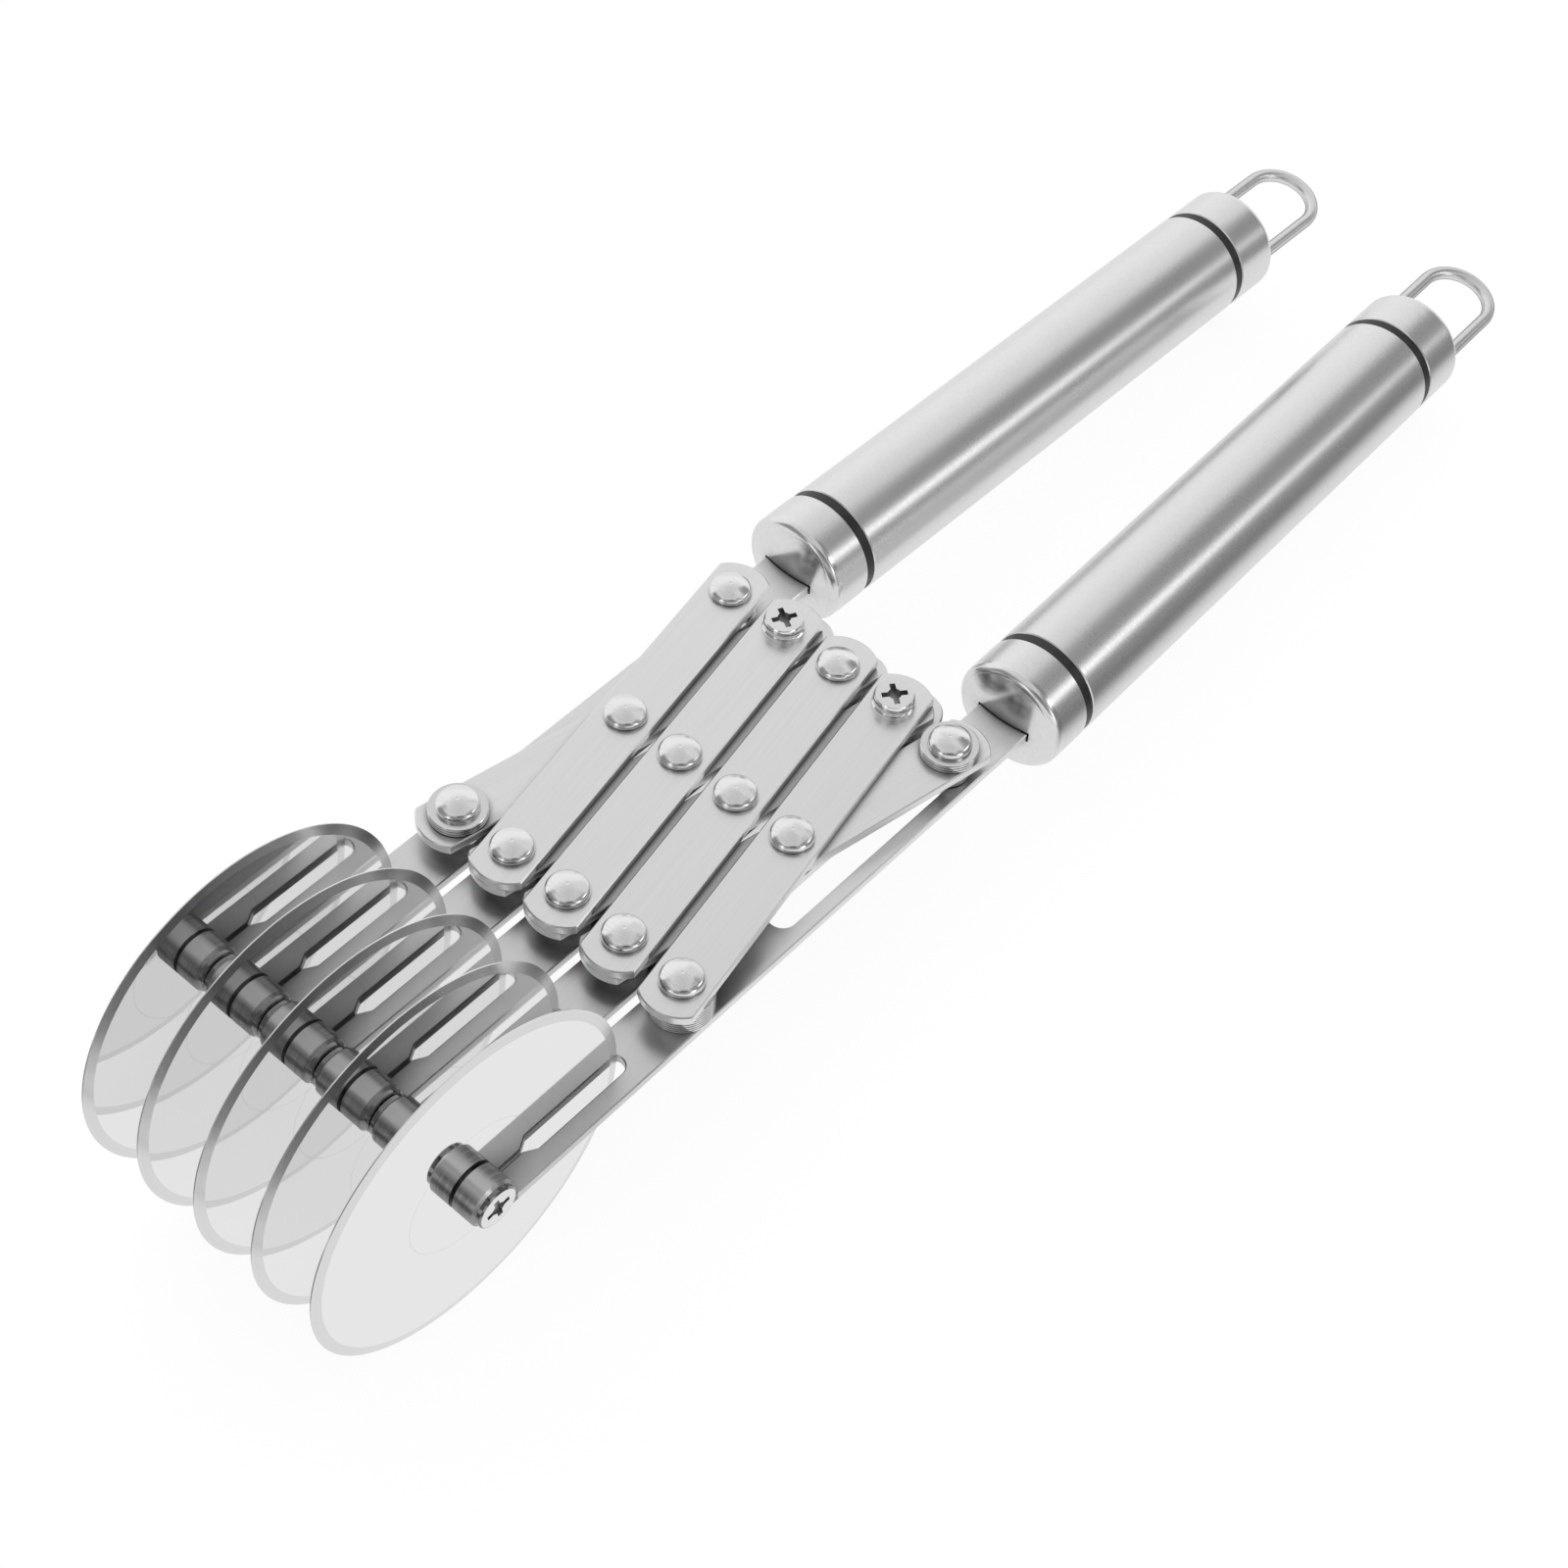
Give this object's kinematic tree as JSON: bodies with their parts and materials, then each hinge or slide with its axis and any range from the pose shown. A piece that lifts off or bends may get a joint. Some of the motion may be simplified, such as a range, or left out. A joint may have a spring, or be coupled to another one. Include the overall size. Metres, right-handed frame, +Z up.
{
  "type": "expandable pastry cutter",
  "caption": "Hand-held pastry cutter: parallel cutting wheels on forked arms, spread evenly by a lazy-tongs linkage that its tube handles open and close.",
  "frame": {"origin": "under the middle of the closed tool's length and width, level with the wheels' lowest points", "axes": "+X from the first arm to the last, along the wheel axles; +Y from the wheels to the handles; +Z up, square to the arm plates, towards the rivet domes"},
  "size_m": [0.0846, 0.3774, 0.075],
  "materials": {
    "wheel_steel": "mirror polished",
    "plate_steel": "satin",
    "polished_steel": "polished",
    "axle_steel": "turned",
    "grip_steel": "satin",
    "ring_rubber": "matte"
  },
  "bodies": {
    "arm_1": {"arm_1": "plate_steel", "axle_post_1": "axle_steel", "axle_screw_1": "axle_steel", "front_rivet_1": "polished_steel", "front_washers_1": "polished_steel", "ferrule_1": "grip_steel", "grip_tube_1": "grip_steel", "grip_rings_1": "ring_rubber", "end_cap_1": "grip_steel", "hanging_loop_1": "polished_steel"},
    "wheel_1": {"cutting_wheel_1": "wheel_steel"},
    "arm_2": {"arm_2": "plate_steel", "axle_post_2": "axle_steel", "axle_screw_2": "axle_steel", "front_rivet_2": "polished_steel"},
    "wheel_2": {"cutting_wheel_2": "wheel_steel"},
    "arm_3": {"arm_3": "plate_steel", "axle_post_3": "axle_steel", "axle_screw_3": "axle_steel", "front_rivet_3": "polished_steel"},
    "wheel_3": {"cutting_wheel_3": "wheel_steel"},
    "arm_4": {"arm_4": "plate_steel", "axle_post_4": "axle_steel", "axle_screw_4": "axle_steel", "front_rivet_4": "polished_steel"},
    "wheel_4": {"cutting_wheel_4": "wheel_steel"},
    "arm_5": {"arm_5": "plate_steel", "axle_post_5": "axle_steel", "axle_screw_5": "axle_steel", "front_rivet_5": "polished_steel", "front_washers_5": "polished_steel", "ferrule_5": "grip_steel", "grip_tube_5": "grip_steel", "grip_rings_5": "ring_rubber", "end_cap_5": "grip_steel", "hanging_loop_5": "polished_steel"},
    "wheel_5": {"cutting_wheel_5": "wheel_steel"},
    "bottom_bar_1": {"bottom_bar_1": "plate_steel", "middle_rivet_1": "polished_steel"},
    "top_bar_1": {"top_bar_1": "plate_steel", "rear_rivet_1": "polished_steel", "rear_washers_1": "polished_steel"},
    "bottom_bar_2": {"bottom_bar_2": "plate_steel", "middle_rivet_2": "polished_steel"},
    "top_bar_2": {"top_bar_2": "plate_steel", "slide_post_2": "polished_steel", "rear_screw_2": "polished_steel"},
    "bottom_bar_3": {"bottom_bar_3": "plate_steel", "middle_rivet_3": "polished_steel"},
    "top_bar_3": {"top_bar_3": "plate_steel", "rear_rivet_3": "polished_steel"},
    "bottom_bar_4": {"bottom_bar_4": "plate_steel", "middle_rivet_4": "polished_steel", "rear_rivet_5": "polished_steel", "rear_washers_5": "polished_steel"},
    "top_bar_4": {"top_bar_4": "plate_steel", "slide_post_4": "polished_steel", "rear_screw_4": "polished_steel"}
  },
  "joints": [
    {"name": "spread", "type": "hinge", "parent": "arm_1", "child": "bottom_bar_1", "pos_m": [-0.0296, -0.09603, 0.0394], "axis": [0, 0, -1], "range_deg": [0, 58]},
    {"name": "top_bar_1_cross", "type": "hinge", "parent": "bottom_bar_1", "child": "top_bar_1", "pos_m": [-0.0222, -0.05672, 0.0405], "axis": [0, 0, -1], "range_deg": [-116, 0]},
    {"name": "arm_2_turn", "type": "hinge", "parent": "top_bar_1", "child": "arm_2", "pos_m": [-0.0148, -0.09603, 0.0405], "axis": [0, 0, -1], "range_deg": [0, 58]},
    {"name": "bottom_bar_2_turn", "type": "hinge", "parent": "arm_2", "child": "bottom_bar_2", "pos_m": [-0.0148, -0.09603, 0.0394], "axis": [0, 0, -1], "range_deg": [0, 58]},
    {"name": "top_bar_2_cross", "type": "hinge", "parent": "bottom_bar_2", "child": "top_bar_2", "pos_m": [-0.0074, -0.05672, 0.0405], "axis": [0, 0, -1], "range_deg": [-116, 0]},
    {"name": "arm_3_turn", "type": "hinge", "parent": "top_bar_2", "child": "arm_3", "pos_m": [0, -0.09603, 0.0405], "axis": [0, 0, -1], "range_deg": [0, 58]},
    {"name": "bottom_bar_3_turn", "type": "hinge", "parent": "arm_3", "child": "bottom_bar_3", "pos_m": [0, -0.09603, 0.0394], "axis": [0, 0, -1], "range_deg": [0, 58]},
    {"name": "top_bar_3_cross", "type": "hinge", "parent": "bottom_bar_3", "child": "top_bar_3", "pos_m": [0.0074, -0.05672, 0.0405], "axis": [0, 0, -1], "range_deg": [-116, 0]},
    {"name": "arm_4_turn", "type": "hinge", "parent": "top_bar_3", "child": "arm_4", "pos_m": [0.0148, -0.09603, 0.0405], "axis": [0, 0, -1], "range_deg": [0, 58]},
    {"name": "bottom_bar_4_turn", "type": "hinge", "parent": "arm_4", "child": "bottom_bar_4", "pos_m": [0.0148, -0.09603, 0.0394], "axis": [0, 0, -1], "range_deg": [0, 58]},
    {"name": "top_bar_4_cross", "type": "hinge", "parent": "bottom_bar_4", "child": "top_bar_4", "pos_m": [0.0222, -0.05672, 0.0405], "axis": [0, 0, -1], "range_deg": [-116, 0]},
    {"name": "arm_5_turn", "type": "hinge", "parent": "top_bar_4", "child": "arm_5", "pos_m": [0.0296, -0.09603, 0.0405], "axis": [0, 0, -1], "range_deg": [0, 58]},
    {"name": "wheel_1_spin", "type": "hinge", "parent": "arm_1", "child": "wheel_1", "pos_m": [-0.0296, -0.15123, 0.0375], "axis": [1, 0, 0], "continuous": true},
    {"name": "wheel_2_spin", "type": "hinge", "parent": "arm_2", "child": "wheel_2", "pos_m": [-0.0148, -0.15123, 0.0375], "axis": [1, 0, 0], "continuous": true},
    {"name": "wheel_3_spin", "type": "hinge", "parent": "arm_3", "child": "wheel_3", "pos_m": [0, -0.15123, 0.0375], "axis": [1, 0, 0], "continuous": true},
    {"name": "wheel_4_spin", "type": "hinge", "parent": "arm_4", "child": "wheel_4", "pos_m": [0.0148, -0.15123, 0.0375], "axis": [1, 0, 0], "continuous": true},
    {"name": "wheel_5_spin", "type": "hinge", "parent": "arm_5", "child": "wheel_5", "pos_m": [0.0296, -0.15123, 0.0375], "axis": [1, 0, 0], "continuous": true}
  ],
  "couplings": [
    {"joint": "top_bar_1_cross", "follows": "spread", "ratio": -2},
    {"joint": "arm_2_turn", "follows": "spread", "ratio": 1},
    {"joint": "bottom_bar_2_turn", "follows": "spread", "ratio": 1},
    {"joint": "top_bar_2_cross", "follows": "spread", "ratio": -2},
    {"joint": "arm_3_turn", "follows": "spread", "ratio": 1},
    {"joint": "bottom_bar_3_turn", "follows": "spread", "ratio": 1},
    {"joint": "top_bar_3_cross", "follows": "spread", "ratio": -2},
    {"joint": "arm_4_turn", "follows": "spread", "ratio": 1},
    {"joint": "bottom_bar_4_turn", "follows": "spread", "ratio": 1},
    {"joint": "top_bar_4_cross", "follows": "spread", "ratio": -2},
    {"joint": "arm_5_turn", "follows": "spread", "ratio": 1}
  ]
}
